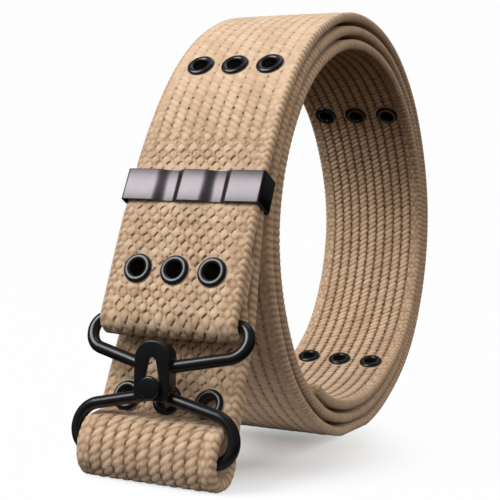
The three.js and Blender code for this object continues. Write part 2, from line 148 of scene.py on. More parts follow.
# %% Room
world = bpy.data.worlds.new("white room")
bpy.context.scene.world = world
world.use_nodes = True
room = world.node_tree
room.nodes.clear()
room_seen = room.nodes.new("ShaderNodeLightPath")
room_light = room.nodes.new("ShaderNodeBackground")
room_light.inputs["Color"].default_value = (1, 0.94, 0.86, 1)
room_light.inputs["Strength"].default_value = 0.66
room_mirrored = room.nodes.new("ShaderNodeBackground")
room_mirrored.inputs["Color"].default_value = (0.2, 0.2, 0.22, 1)
room_mirrored.inputs["Strength"].default_value = 0.35
room_backdrop = room.nodes.new("ShaderNodeBackground")
room_backdrop.inputs["Color"].default_value = (*backdrop_white, 1)
mirror_mix = room.nodes.new("ShaderNodeMixShader")
backdrop_mix = room.nodes.new("ShaderNodeMixShader")
room_output = room.nodes.new("ShaderNodeOutputWorld")
room.links.new(room_seen.outputs["Is Glossy Ray"], mirror_mix.inputs["Fac"])
room.links.new(room_light.outputs["Background"], mirror_mix.inputs[1])
room.links.new(room_mirrored.outputs["Background"], mirror_mix.inputs[2])
room.links.new(room_seen.outputs["Is Camera Ray"], backdrop_mix.inputs["Fac"])
room.links.new(mirror_mix.outputs["Shader"], backdrop_mix.inputs[1])
room.links.new(room_backdrop.outputs["Background"], backdrop_mix.inputs[2])
room.links.new(backdrop_mix.outputs["Shader"], room_output.inputs["Surface"])
bpy.context.scene.view_settings.view_transform = "Standard"

# %% [markdown]
# ## The line of the webbing
# The strap is a ribbon of constant width, so its whole form is one line in the side view: the
# folded tail, the turn round the buckle's bar, the front run, and a spiral that tightens by one
# layer each turn. The sizes are those of the solids, in millimetres, and they become metres only
# when a mesh is written.

# %% Sizes of the webbing
MM = 0.001
strap_width = 57.0
strap_thickness = 3.9
half_thickness = strap_thickness / 2
clearance = 0.3
layer_step = strap_thickness + clearance

coil_reach = 119.4
layer_pitch = 6.2
coil_start_turn = -0.1
coil_end_turn = 2.6
floor_flat = 1.1
coil_shares = [0.828, 0.854, 0.923, 1.001, 0.98, 0.894, 0.863, 0.89, 0.947, 0.993, 0.939, 0.864]

upper_bar_ahead = 17.4
upper_bar_height = 59.1
front_lean = math.radians(19.9)
front_top_pull = 0.335
front_foot_pull = 0.38
folded_tail = 27.0
tail_taper = 12.0
wire_radius = 2.35
bar_radius = wire_radius + clearance + half_thickness

roll_radius = 10.4
roll_forward = 9.2
roll_rise = 2.6
roll_flat = 0.5
roll_angles = [22, 45, 75, 105, 135, 165, 195, 225, 255, 280]
lower_run = [(0.93, 5.15), (0.74, 4.35), (0.56, 3.35), (0.385, 2.4), (0.25, 1.65)]
lower_strap_above = 1.0
lower_tail_above = 7.5
lower_tail_below = 5.0
lower_row_above = 6.8

keeper_above = 45.6
keeper_height = 13.5
keeper_slack = 0.25
eyelet_back = 1.0


# %% Smooth lines
def spline(points, shares, closed=False):
    """Points along a smooth spline through the given ones, at shares of it from 0 to 1."""
    points = np.asarray(points, float)
    count = len(points)
    stretches = count if closed else count - 1
    at = np.asarray(shares, float) * stretches
    first = np.floor(at).astype(int)
    if not closed:
        first = np.minimum(first, stretches - 1)
    weight = (at - first)[:, None]

    def pick(i):
        return points[i % count] if closed else points[np.clip(i, 0, count - 1)]

    here, there = pick(first), pick(first + 1)
    leaving = (there - pick(first - 1)) / 2
    arriving = (pick(first + 2) - here) / 2
    step = there - here
    cubic = 3 * step - 2 * leaving - arriving + weight * (leaving + arriving - 2 * step)
    return here + weight * (leaving + weight * cubic)


def lengths_along(line):
    """The length of a line up to each of its points."""
    steps = np.hypot(*np.diff(line, axis=0).T)
    return np.concatenate([[0], np.cumsum(steps)])


def at_length(line, lengths):
    """Points and forward directions of a line at the given lengths."""
    reached = lengths_along(line)
    way = np.gradient(line, reached, axis=0)
    point = np.stack([np.interp(lengths, reached, line[:, k]) for k in (0, 1)], -1)
    along = np.stack([np.interp(lengths, reached, way[:, k]) for k in (0, 1)], -1)
    return point, along / np.linalg.norm(along, axis=-1, keepdims=True)


def sideways(along):
    """The direction that lies to the left of each forward direction."""
    return np.stack([-along[..., 1], along[..., 0]], -1)


# %% The coil
coil_share_points = [(share, 0) for share in coil_shares]


def coil_share(turn):
    turn = np.atleast_1d(turn)
    return spline(coil_share_points, turn - np.floor(turn), closed=True)[:, 0]


coil_height = coil_share(0.5)[0] * coil_reach - layer_pitch / 2 - floor_flat


def pressed(points):
    """Points of a strap's middle line, pressed flat where the strap meets the floor."""
    return np.stack([points[..., 0], np.maximum(points[..., 1], half_thickness)], -1)


def coil_points(turn):
    turn = np.atleast_1d(turn).astype(float)
    reach = coil_share(turn) * coil_reach - layer_pitch * turn - half_thickness
    angle = turn * 2 * math.pi
    return pressed(np.stack([reach * np.sin(angle), coil_height + reach * np.cos(angle)], -1))


# %% The front run
upper_bar = np.array([-coil_reach - upper_bar_ahead, upper_bar_height])
down = np.array([-math.sin(front_lean), -math.cos(front_lean)])
forward = np.array([-math.cos(front_lean), math.sin(front_lean)])
front_foot = upper_bar + forward * bar_radius
front_top, leaving_coil = coil_points([coil_start_turn, coil_start_turn + 0.002])
front_span = np.linalg.norm(front_top - front_foot)
coil_way = (leaving_coil - front_top) / np.linalg.norm(leaving_coil - front_top)
foot_pull = front_foot - down * front_foot_pull * front_span
top_pull = front_top - coil_way * front_top_pull * front_span
share = np.linspace(0, 1, 600)[:, None]
front_line = (
    (1 - share) ** 3 * front_foot
    + 3 * (1 - share) ** 2 * share * foot_pull
    + 3 * (1 - share) * share**2 * top_pull
    + share**3 * front_top
)


def front_points(above, behind):
    """Points at heights above the upper bar along the front run, and as far behind it as asked."""
    above = np.atleast_1d(above).astype(float)
    point, along = at_length(front_line, np.maximum(above, 0))
    point = point + along * np.minimum(above, 0)[:, None]
    return point - sideways(along) * np.asarray(behind, float).reshape(-1, 1)


# %% The main strap from its tail to the coil's inner end
tail_heights = np.linspace(folded_tail, 0.5, 54)
taper = 1 - np.clip(tail_heights / tail_taper, 0, 1)
taper = taper * taper * (3 - 2 * taper)
tail_part = front_points(tail_heights, layer_step + (2 * bar_radius - layer_step) * taper)
fold_angles = np.linspace(math.pi, 0, 30)[:, None]
fold_part = upper_bar + bar_radius * (forward * np.cos(fold_angles) + down * np.sin(fold_angles))
coil_turns = np.linspace(coil_start_turn, coil_end_turn, 2400)
coil_part = coil_points(coil_turns)
main_line = np.concatenate([tail_part, fold_part, front_line[1:-1], coil_part])
main_lengths = lengths_along(main_line)
main_length = main_lengths[-1]
front_begins = main_lengths[len(tail_part) + len(fold_part) - 1]


def turn_length(turn):
    """The length of the main strap, from its tail, at a turn of the coil."""
    return float(np.interp(turn, coil_turns, main_lengths[-len(coil_turns):]))


print("main strap:", round(main_length), "mm")

# %% The lower strap from the keeper to the tail behind its roll
roll_middle = roll_radius - half_thickness
roll = np.array([upper_bar[0] - roll_forward, roll_radius - roll_flat])
angles = np.radians(roll_angles)
rises = np.where(np.cos(angles) > 0, roll_middle + roll_rise, roll_middle)
roll_part = np.stack([roll[0] - roll_middle * np.sin(angles), roll[1] + rises * np.cos(angles)], -1)
run_rise = upper_bar[1] - roll[1]
run_part = [(roll[0] + back * strap_thickness, roll[1] + up * run_rise) for up, back in lower_run]
keeper_top = keeper_above + keeper_height
behind_strip = layer_step + keeper_slack
behind_tail = 2 * layer_step + eyelet_back + clearance
held_part = [
    front_points(keeper_top + lower_strap_above, behind_strip)[0],
    front_points(keeper_top - keeper_height / 2, behind_strip)[0],
    front_points(keeper_above, behind_strip)[0],
    front_points(folded_tail - half_thickness, behind_tail)[0],
]
hang_points = np.array(held_part + run_part)
hang_line = spline(hang_points, np.linspace(0, 1, 900))
hang_length = lengths_along(hang_line)[-1]


def lower_points(above, behind):
    """Points above the end of the lower strap's visible run, and as far behind it as asked."""
    point, along = at_length(hang_line, np.atleast_1d(hang_length - above))
    return point + sideways(along) * behind


tail_back = [
    lower_points(lower_row_above - lower_tail_below, layer_step)[0],
    lower_points(lower_row_above, layer_step)[0],
    lower_points(lower_row_above + lower_tail_above, layer_step)[0],
]
lower_course = np.concatenate([hang_points, roll_part, tail_back])
lower_line = pressed(spline(lower_course, np.linspace(0, 1, 2200)))
lower_length = lengths_along(lower_line)[-1]
print("lower strap:", round(lower_length), "mm")

# %% From the side view into the room
# The coil's centre is at y = 0 in the side view. The belt's own origin lies under the middle of
# its box.
coil_back = coil_points(np.linspace(0.2, 0.3, 200))[:, 0].max() + half_thickness
side_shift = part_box("strap")[1][1] / MM - coil_back
print("side view shifted by", round(side_shift, 2), "mm")


def in_room(across, side_points):
    """Metres in the room from millimetres across the strap and points of the side view."""
    return np.stack([across, side_points[..., 0] + side_shift, side_points[..., 1]], -1) * MM


# %% [markdown]
# ## The weave
# Thick belt webbing is a double weave. Where it lies slack its yarn shows as plump kernels, each
# row shifted by half a kernel, with slimmer kernels between them. Where it is pulled smooth the
# kernels line up into slanted, rope-like columns. Both edges have a finer selvage. The relief is
# deep enough to show in the outline, so it is modelled: a height for every place on the cloth,
# worked out from the distance to the nearest kernels. Each kernel is a little off its place and
# its size, as yarn is.

# %% Sizes of the weave
kernel_pitch = 5.0
row_pitch = 2.8
selvage_reach = 22.6
selvage_blend = 1.2
full_relief = 0.75
ground_height = 0.05
plump = {"half_width": 1.9, "half_height": 2.2, "height": 1.0, "shift": 0.0}
slim = {"half_width": 0.85, "half_height": 1.35, "height": 0.55, "shift": 0.5}
selvage = {"half_width": 1.15, "half_height": 1.4, "height": 0.55, "shift": 0.0}
rope = {"half_width": 2.45, "half_height": 1.45, "height": 1.0, "slant": -0.6}


def scatter(column, row, which):
    """A fixed share from -1 to 1 for each kernel, the same at every run."""
    inner = np.sin(column * 1.3 - row * 2.3 + which)
    return np.sin(column * 2.7 + row * 4.1 + which * 1.9 + 2.6 * inner)


def smooth_share(value, low, high):
    """0 below low, 1 above high, and a smooth rise between them."""
    share = np.clip((value - low) / (high - low), 0, 1)
    return share * share * (3 - 2 * share)


def dome(off_across, off_along, half_width, half_height):
    """The height of a rounded kernel at an offset from its middle, from 0 outside to 1 on top."""
    spread = (np.abs(off_across) / half_width) ** 2.3 + (np.abs(off_along) / half_height) ** 2
    return np.sqrt(np.clip(1 - spread, 0, 1))


def staggered(across, along, pitch, kernel):
    """Height and tone of kernels whose rows are shifted by half a kernel."""
    height, tone = np.zeros_like(across), np.zeros_like(across)
    for row_step in (-1, 0, 1):
        row = np.round(along / row_pitch) + row_step
        stagger = (0.5 * (row % 2) + kernel["shift"]) * pitch
        column = np.round((across - stagger) / pitch)
        off_across = across - stagger - column * pitch - 0.3 * scatter(column, row, 1)
        off_along = along - row * row_pitch - 0.28 * scatter(column, row, 2)
        size = 1 + 0.13 * scatter(column, row, 3)
        lift = kernel["height"] * (0.88 + 0.14 * scatter(column, row, 4))
        half_width, half_height = kernel["half_width"] * size, kernel["half_height"] * size
        here = lift * dome(off_across, off_along, half_width, half_height)
        tone = np.where(here > height, scatter(column, row, 5), tone)
        height = np.maximum(height, here)
    return height, tone


def roped(across, along):
    """Height and tone of kernels that line up into slanted columns."""
    height, tone = np.zeros_like(across), np.zeros_like(across)
    column = np.round(across / kernel_pitch)
    off_across = across - column * kernel_pitch
    slanted = along - rope["slant"] * off_across - 0.5 * (column % 2) * row_pitch
    for row_step in (-1, 0, 1):
        row = np.round(slanted / row_pitch) + row_step
        off_along = slanted - row * row_pitch - 0.15 * scatter(column, row, 2)
        lift = rope["height"] * (0.9 + 0.1 * scatter(column, row, 4))
        here = lift * dome(off_across, off_along, rope["half_width"], rope["half_height"])
        tone = np.where(here > height, scatter(column, row, 5), tone)
        height = np.maximum(height, here)
    return height, tone


def weave(across, along, slack):
    """Relief, the height for the painted shade in the gaps, and tone. slack is 0 for ropes, 1 for
    kernels.
    """
    plump_height, plump_tone = staggered(across, along, kernel_pitch, plump)
    slim_height, slim_tone = staggered(across, along, kernel_pitch, slim)
    slack_tone = np.where(plump_height >= slim_height, plump_tone, slim_tone)
    slack_height = np.maximum(plump_height, slim_height)
    rope_height, rope_tone = roped(across, along)
    height = slack * slack_height + (1 - slack) * rope_height
    tone = np.where(slack > 0.5, slack_tone, rope_tone)
    edge_height, edge_tone = staggered(across, along, kernel_pitch / 2, selvage)
    blend = smooth_share(np.abs(across), selvage_reach, selvage_reach + selvage_blend)
    # Painted shade: the height that the cloth's colour follows, dark brown in the gaps between
    # kernels and light tan on their tops.
    shade_height = np.maximum(plump_height, slim_height + 0.2) * slack + rope_height * (1 - slack)
    shade_height = shade_height * (1 - blend) + (edge_height + 0.35) * blend
    height = np.maximum(height * (1 - blend) + edge_height * blend, ground_height)
    return height, shade_height, np.where(blend > 0.5, edge_tone, tone)


# %% [markdown]
# ## Making a strap
# A strap starts as a flat grid. One way of the grid goes once round the strap's section, the
# other follows its length. The grid's points are then moved onto the line: out to the woven face,
# over the round selvage, and back along the other face. A face that no one can see gets few
# columns and no relief, so that the points go where the weave shows. Round each eyelet the grid
# is drawn into a circle and pushed through the cloth.

# %% The section of a strap
edge_reach = 26.5
edge_round = strap_width / 2 - edge_reach
edge_steps = 7
edge_relief_share = 0.62
end_rounding = 1.6
plain_columns = 8
back_face_shift = 80


def face_columns(count):
    """Places across one face of the strap, with whole steps on each side of its middle."""
    return np.arange(-count, count + 1) * edge_reach / count


def section(outer_columns, inner_columns):
    """For each point round the section: face (1 outer, -1 inner, 0 edge), place across, angle."""
    outer = face_columns(outer_columns)
    inner = face_columns(inner_columns)[::-1]
    round_angles = np.linspace(0, math.pi, edge_steps + 2)[1:-1]
    rows = [(1, x, 0.0) for x in outer]
    rows += [(0, edge_reach, angle) for angle in round_angles]
    rows += [(-1, x, math.pi) for x in inner]
    rows += [(0, -edge_reach, math.pi + angle) for angle in round_angles]
    rows.append(rows[0])
    return np.array(rows)


# %% Rows of eyelets
eyelet_pitch = 15.8
wide_eyelet_pitch = 17.5
hole_radius = 3.65
wall_share = 0.81
pressed_reach = 5.8
pressed_rim = 7.6
pressed_relief = 0.18


def row_places(pitch):
    """Places across the strap of the three eyelets of a row."""
    return (-pitch, 0.0, pitch)


def draw_into_circles(across, along, rows, column_step, along_step):
    """Moves grid places near each eyelet onto circles. Each place's ring is 1 at the hole's rim."""
    ring = np.full(across.shape, 9.0)
    new_across, new_along = across.copy(), along.copy()
    block_across = round(hole_radius / column_step) * column_step
    block_along = round(hole_radius / along_step) * along_step
    for row in rows:
        for place in row_places(row["pitch"]):
            nearest = round(place / column_step) * column_step
            off_across = (across - nearest) / block_across
            off_along = (along - row["at"]) / block_along
            block = np.maximum(np.abs(off_across), np.abs(off_along))
            straight = np.maximum(np.hypot(off_across, off_along), 1e-9)
            wall = np.minimum(block / wall_share, 1.0)
            radius = np.where(block > 1.01, block, wall) * hole_radius
            weight = 1 - smooth_share(block, 1.0, 2.2)
            new_across += weight * (place + radius * off_across / straight - across)
            new_along += weight * (row["at"] + radius * off_along / straight - along)
            ring = np.minimum(ring, block)
    return new_across, new_along, ring


def rows_of_lengths(start, end, step, rows):
    """Even lengths along the strap that meet the middle of every row of eyelets in whole steps."""
    stops = [start] + sorted(row["at"] for row in rows) + [end]
    parts = []
    for low, high in zip(stops, stops[1:]):
        count = max(1, round((high - low) / step))
        parts.append(np.linspace(low, high, count + 1)[:-1])
    return np.concatenate(parts + [[end]])


# %% Mesh helpers
def select_none():
    bpy.ops.object.select_all(action="DESELECT")


def only(piece):
    """Makes one object the selected and active one."""
    select_none()
    piece.select_set(True)
    bpy.context.view_layer.objects.active = piece


def edit():
    """Goes into edit mode with everything selected."""
    bpy.ops.object.mode_set(mode="EDIT")
    bpy.ops.mesh.select_all(action="SELECT")


def end_edit():
    """Turns every face outward and leaves edit mode."""
    bpy.ops.mesh.select_all(action="SELECT")
    bpy.ops.mesh.normals_make_consistent(inside=False)
    bpy.ops.object.mode_set(mode="OBJECT")


def point_ring(name, places):
    """A ring of points, made as a circle and moved to the given places."""
    bpy.ops.mesh.primitive_circle_add(vertices=len(places), radius=1)
    ring = bpy.context.object
    ring.name = name
    for vertex, place in zip(ring.data.vertices, places):
        vertex.co = place
    return ring


def make_sheet(piece, thickness, edge_width, edge_segments, edge_angle):
    """Gives a surface the thickness of its sheet, inward, and soft edges."""
    wall = piece.modifiers.new("sheet", "SOLIDIFY")
    wall.thickness = thickness
    wall.offset = -1
    edge = piece.modifiers.new("soft edge", "BEVEL")
    edge.width = edge_width
    edge.segments = edge_segments
    edge.limit_method = "ANGLE"
    edge.angle_limit = math.radians(edge_angle)
    apply_modifiers(piece)


def apply_modifiers(piece):
    only(piece)
    for modifier in list(piece.modifiers):
        bpy.ops.object.modifier_apply(modifier=modifier.name)


def count_triangles(piece):
    piece.data.calc_loop_triangles()
    return len(piece.data.loop_triangles)


# %% A strap from its line
def woven_strap(name, line, start, end, step, rows, relief, columns, joints=(False, False)):
    """A closed mesh of the strap between two lengths of its line. relief has rows of length,
    height on the outer and on the inner face, slack, and half the length of a slit. columns counts
    the steps across half of the outer and of the inner face, and a face with few of them stays
    plain. joints says which ends meet another piece."""
    lengths = rows_of_lengths(start, end, step, rows)
    ring_rows = section(*columns)
    fine = [count > plain_columns for count in columns]
    ring_count, length_count = len(ring_rows), len(lengths)
    bpy.ops.mesh.primitive_grid_add(x_subdivisions=ring_count - 1, y_subdivisions=length_count - 1)
    piece = bpy.context.object
    piece.name = name
    piece.data.name = name

    face = np.tile(ring_rows[:, 0], (length_count, 1))
    across = np.tile(ring_rows[:, 1], (length_count, 1))
    angle = np.tile(ring_rows[:, 2], (length_count, 1))
    along = np.tile(lengths[:, None], (1, ring_count))
    on_face = face != 0
    is_fine = np.where(face > 0, fine[0], fine[1]) & on_face
    across_now, along_now, ring = across.copy(), along.copy(), np.full(across.shape, 9.0)
    for side in (1, -1):
        side_rows = [row for row in rows if side in row["sides"]]
        column_step = edge_reach / columns[0 if side == 1 else 1]
        drawn = draw_into_circles(across, along, side_rows, column_step, step)
        here = is_fine & (face == side)
        across_now, along_now, ring = (
            np.where(here, new, old) for new, old in zip(drawn, (across_now, along_now, ring))
        )

    at, *profiles = np.array(relief, float).T
    outer_relief, inner_relief, slack, slit = (
        np.interp(along_now, at, profile) for profile in profiles
    )
    strength = np.where(face > 0, outer_relief, inner_relief)
    distance = np.full(across.shape, 99.0)
    for row in rows:
        for place in row_places(row["pitch"]):
            distance = np.minimum(distance, np.hypot(across_now - place, along_now - row["at"]))
    freed = smooth_share(distance, pressed_reach, pressed_rim)
    strength = strength * (pressed_relief + (1 - pressed_relief) * freed)
    woven, seen, tones = weave(across_now, along_now, slack)
    height = np.where(is_fine, strength * woven, 0.5 * strength)

    edge_strength = np.maximum(outer_relief, inner_relief) * edge_relief_share
    lean = (angle % math.pi) / math.pi
    cord = np.abs(np.sin(math.pi * (along / row_pitch + 0.9 * lean)))
    edge_height = edge_strength * (0.25 + 0.75 * np.sqrt(cord))

    squeeze = np.ones(length_count)
    for from_end, joint in zip((lengths - start, end - lengths), joints):
        if not joint:
            off = np.clip(1 - from_end / end_rounding, 0, 1)
            squeeze = np.minimum(squeeze, np.sqrt(np.maximum(1 - off * off, 0.04)))
    squeeze = squeeze[:, None]

    through = np.zeros(across.shape, bool)
    for row in rows:
        if len(row["sides"]) == 2:
            through |= np.abs(along - row["at"]) < hole_radius + step
    in_hole = ring <= wall_share
    floor_of_hole = np.where(through, 0.0, -half_thickness * 0.8)
    depth = np.where(in_hole, floor_of_hole, half_thickness + height) * squeeze
    edge_depth = (edge_round + edge_height) * squeeze
    x_edge = across + np.sign(across) * np.sin(angle % math.pi) * edge_depth
    d_edge = np.cos(angle) * edge_depth
    offset = np.where(face > 0, depth, np.where(face < 0, -depth, d_edge))
    x = np.where(on_face, across_now, x_edge)

    point, way = at_length(line, along_now)
    place = in_room(x, point + sideways(way) * offset[..., None])
    piece.data.vertices.foreach_set("co", place.reshape(-1, 3).ravel())

    arc = np.where(on_face, 0, (angle % math.pi) * edge_round)
    edge_across = edge_reach + arc + np.where(across > 0, 0, back_face_shift)
    face_across = np.where(face > 0, across_now, back_face_shift - across_now)
    cloth_across = np.where(on_face, face_across, edge_across)
    cloth = np.stack([cloth_across, along_now], -1).reshape(-1, 2) / strap_width
    corner = np.zeros(len(piece.data.loops), dtype=np.int32)
    piece.data.loops.foreach_get("vertex_index", corner)
    uv = piece.data.uv_layers[0]
    uv.name = "cloth"
    uv.data.foreach_set("uv", cloth[corner].ravel().astype(np.float32))

    # Painted shade: the cloth's colour darkens where this height is low, in the gaps between
    # kernels and between the selvage's cords, and is darkest inside the eyelet holes.
    seen = 1 - (1 - seen) * np.clip(strength / full_relief, 0, 1)
    shade_height = np.where(is_fine, seen, np.where(on_face, 0.7, 0.12 + 0.75 * cord))
    shade_height = np.where(in_hole, -1, shade_height)
    # Painted shade: how strongly the finish paints dark crevices into the open weave.
    open_shade_share = np.clip((strength - 0.1) / 0.3, 0, 1)
    open_shade_share = open_shade_share * np.where(np.abs(across_now) < selvage_reach, 1, 0.4)
    open_shade_share = np.where(is_fine, open_shade_share, 0)
    painted = {"yarn_shade_height": shade_height, "tone": tones, "slack": slack, "slit": slit, "open_shade": open_shade_share}
    for label, value in painted.items():
        attribute = piece.data.attributes.new(label, "FLOAT", "POINT")
        attribute.data.foreach_set("value", value.ravel().astype(np.float32))
    close_strap(piece, (in_hole & through).ravel())
    print(name, count_triangles(piece), "triangles")
    return piece


def close_strap(piece, opened):
    """Opens the through holes, joins the grid's two sides into a tube and caps its ends."""
    only(piece)
    bpy.ops.object.mode_set(mode="EDIT")
    bpy.ops.mesh.select_mode(type="FACE")
    bpy.ops.mesh.select_all(action="DESELECT")
    bpy.ops.object.mode_set(mode="OBJECT")
    inside = [all(opened[v] for v in polygon.vertices) for polygon in piece.data.polygons]
    piece.data.polygons.foreach_set("select", inside)
    bpy.ops.object.mode_set(mode="EDIT")
    bpy.ops.mesh.delete(type="FACE")
    bpy.ops.mesh.select_all(action="SELECT")
    bpy.ops.mesh.remove_doubles(threshold=1e-7)
    bpy.ops.mesh.select_all(action="DESELECT")
    bpy.ops.mesh.select_mode(type="EDGE")
    bpy.ops.mesh.select_non_manifold(extend=False, use_multi_face=False)
    bpy.ops.mesh.edge_face_add()
    end_edit()
    bpy.ops.object.shade_smooth_by_angle(angle=math.radians(80))


# %% [markdown]
# ## The main strap
# The main strap is one length of webbing, but a single mesh fine enough for the weave would be
# too heavy. It is therefore made as five pieces that meet where nothing shows or where the weave
# is the same: under the keeper, on top of the coil, and where one layer disappears behind the
# next. The rows of relief say how the weave changes along the strap.

# %% Where the main strap is parted and where its eyelets are
upper_end_turn = 0.07
outer_end_turn = 0.93
inner_start_turn = 1.58
lower_row_height = 17.8
upper_row_height = 113.6
fine_step = 0.54
fine_columns = 50

under_keeper = front_begins + keeper_above + keeper_height / 2
upper_ends = turn_length(upper_end_turn)
outer_ends = turn_length(outer_end_turn)
inner_starts = turn_length(inner_start_turn)
lower_front = front_begins + lower_row_height
upper_front = front_begins + upper_row_height
row_turns = {"top_back": 0.13, "low_back": 0.4, "inner_high": 2.129, "inner_low": 2.398}


def tail_crossing(line, at, tail_start, tail_end):
    """The length at which a folded tail crosses the axis of an eyelet row on the same strap."""
    point, along = at_length(line, np.array([at]))
    tail = np.arange(tail_start, tail_end, 0.05)
    tail_points = at_length(line, tail)[0]
    return float(tail[np.argmin(np.abs((tail_points - point) @ along[0]))])


# %% The strap in front, with its fold round the upper bar
front_rows = [
    {"at": tail_crossing(main_line, lower_front, 0, folded_tail), "sides": (1, -1),
     "pitch": eyelet_pitch},
    {"at": lower_front, "sides": (1, -1), "pitch": eyelet_pitch},
]
front_relief = [
    (0, 0.45, 0.08, 1, 1),
    (folded_tail, 0.45, 0.05, 1, 1),
    (front_begins, 0.75, 0.05, 1, 1),
    (front_begins + 26, 0.8, 0.08, 1, 1),
    (front_begins + 34, 0.85, 0.4, 1, 1),
    (front_begins + keeper_above - 4.5, 0.85, 0.2, 1, 1),
    (front_begins + keeper_above - 0.5, 0.25, 0.1, 1, 1),
    (under_keeper, 0.2, 0.1, 1, 1),
]
webbing_front = woven_strap(
    "webbing_front", main_line, 0, under_keeper, fine_step, front_rows, front_relief,
    (fine_columns, fine_columns), joints=(False, True),
)

# %% The run up to the top of the coil
upper_relief = [
    (under_keeper, 0.2, 0.1, 1, 1),
    (front_begins + keeper_top + 0.5, 0.25, 0.1, 1, 1),
    (front_begins + keeper_top + 4.5, 0.8, 0.4, 1, 1),
    (front_begins + 84, 0.5, 0.4, 0, 0.75),
    (upper_front - 8, 0.3, 0.4, 0, 0.65),
    (upper_ends, 0.34, 0.4, 0, 0.75),
]
upper_rows = [{"at": upper_front, "sides": (1,), "pitch": eyelet_pitch}]
webbing_upper = woven_strap(
    "webbing_upper", main_line, under_keeper, upper_ends, fine_step, upper_rows, upper_relief,
    (fine_columns, plain_columns), joints=(True, True),
)

# %% The outer turn of the coil
outer_rows = [
    {"at": turn_length(row_turns["top_back"]), "sides": (1,), "pitch": eyelet_pitch},
    {"at": turn_length(row_turns["low_back"]), "sides": (1,), "pitch": eyelet_pitch},
]
outer_relief = [
    (upper_ends, 0.34, 0.4, 0, 0.75),
    (outer_ends, 0.6, 0.4, 0, 0.9),
]
webbing_outer = woven_strap(
    "webbing_outer", main_line, upper_ends, outer_ends, 0.78, outer_rows, outer_relief,
    (36, plain_columns), joints=(True, True),
)

# %% The hidden middle turns
middle_relief = [
    (outer_ends, 0.5, 0.4, 0, 1),
    (inner_starts, 0.5, 0.5, 0, 1),
]
webbing_middle = woven_strap(
    "webbing_middle", main_line, outer_ends, inner_starts, 0.7, [], middle_relief,
    (plain_columns, plain_columns), joints=(True, True),
)

# %% The innermost turn
inner_rows = [
    {"at": turn_length(row_turns["inner_high"]), "sides": (-1,), "pitch": wide_eyelet_pitch},
    {"at": turn_length(row_turns["inner_low"]), "sides": (-1,), "pitch": wide_eyelet_pitch},
]
inner_relief = [
    (inner_starts, 0.5, 0.85, 0, 1.3),
    (main_length, 0.5, 0.85, 0, 1.3),
]
webbing_inner = woven_strap(
    "webbing_inner", main_line, inner_starts, main_length, 0.72, inner_rows, inner_relief,
    (plain_columns, 42), joints=(True, False),
)

# %% [markdown]
# ## The lower strap
# The short lower strap comes out of the keeper behind the front run, carries its own row of
# eyelets, and rolls forward round the lower bar. Its outer side is the one to the right of its
# line.

# %% The lower strap
lower_row = hang_length - lower_row_above
lower_rows = [
    {"at": lower_row, "sides": (1, -1), "pitch": wide_eyelet_pitch},
    {"at": tail_crossing(lower_line, lower_row, lower_length - 20, lower_length), "sides": (-1,),
     "pitch": wide_eyelet_pitch},
]
lower_relief = [
    (0, 0.1, 0.1, 1, 1),
    (keeper_height + 1, 0.1, 0.1, 1, 1),
    (keeper_height + 6, 0.4, 0.3, 1, 1),
    (hang_length - 22, 0.4, 0.85, 1, 1),
    (hang_length - 16, 0.05, 0.85, 1, 1),
    (hang_length, 0.05, 0.7, 1, 1),
    (hang_length + 8, 0.3, 0.75, 0.25, 1.1),
    (hang_length + 30, 0.3, 0.7, 0.25, 1.1),
    (lower_length - 18, 0.3, 0.4, 1, 1),
    (lower_length - 13, 0.05, 0.4, 1, 1),
    (lower_length, 0.05, 0.4, 1, 1),
]
webbing_lower = woven_strap(
    "webbing_lower", lower_line, 0, lower_length, fine_step, lower_rows, lower_relief,
    (fine_columns, fine_columns),
)

# %% [markdown]
# ## Eyelets
# A rolled eyelet is turned: one profile, spun about its axis. The profile starts as a circle of
# points, is moved onto the section of the barrel and its two flanges, and is spun all the way
# round.

# %% Sizes of an eyelet
eyelet_hole = 3.1
eyelet_wall = 0.45
eyelet_flange = 5.9
eyelet_dome = 1.3
seat_margin = 0.8
flat_reach = eyelet_flange + seat_margin


def turned(name, profile, steps):
    """A closed solid of revolution about Z, from a profile of (radius, height) in millimetres."""
    select_none()
    piece = point_ring(name, [(radius * MM, 0, height * MM) for radius, height in profile])
    edit()
    bpy.ops.mesh.spin(steps=steps, angle=2 * math.pi, center=(0, 0, 0), axis=(0, 0, 1))
    bpy.ops.mesh.select_all(action="SELECT")
    bpy.ops.mesh.remove_doubles(threshold=1e-6)
    bpy.ops.mesh.delete_loose()
    end_edit()
    return piece


def arc_points(centre, radii, start, end, count):
    """Points on part of an ellipse, from one angle to another in degrees."""
    turn = np.radians(np.linspace(start, end, count))
    return [(centre[0] + radii[0] * math.cos(a), centre[1] + radii[1] * math.sin(a)) for a in turn]


def eyelet_profile(layers):
    """The section of a rolled eyelet whose barrel passes through one or more layers."""
    front = half_thickness + clearance
    back = -(half_thickness + clearance + (layers - 1) * layer_step)
    middle = (eyelet_hole + eyelet_flange) / 2
    rim = (eyelet_flange - eyelet_hole) / 2
    profile = [(eyelet_hole + eyelet_wall, back + 0.2), (eyelet_hole + eyelet_wall, front)]
    profile += [(eyelet_flange - 0.25, front - 0.05)]
    profile += arc_points((middle, front + 0.3), (rim, eyelet_dome - 0.3), -8, 172, 13)
    profile += [(eyelet_hole, front - 0.6), (eyelet_hole, back)]
    profile += arc_points((middle, back - 0.1), (rim, eyelet_back - 0.1), 185, 345, 9)
    profile += [(eyelet_flange - 0.3, back + 0.1)]
    return profile


# %% Seats of the eyelets
def seat(line, at, outward, reach=flat_reach):
    """A row's place on the middle line, and the way that its domed side faces."""
    ends = at_length(line, np.array([at - reach, at + reach]))[0]
    along = (ends[1] - ends[0]) / np.linalg.norm(ends[1] - ends[0])
    return ends.mean(0), sideways(along) * outward


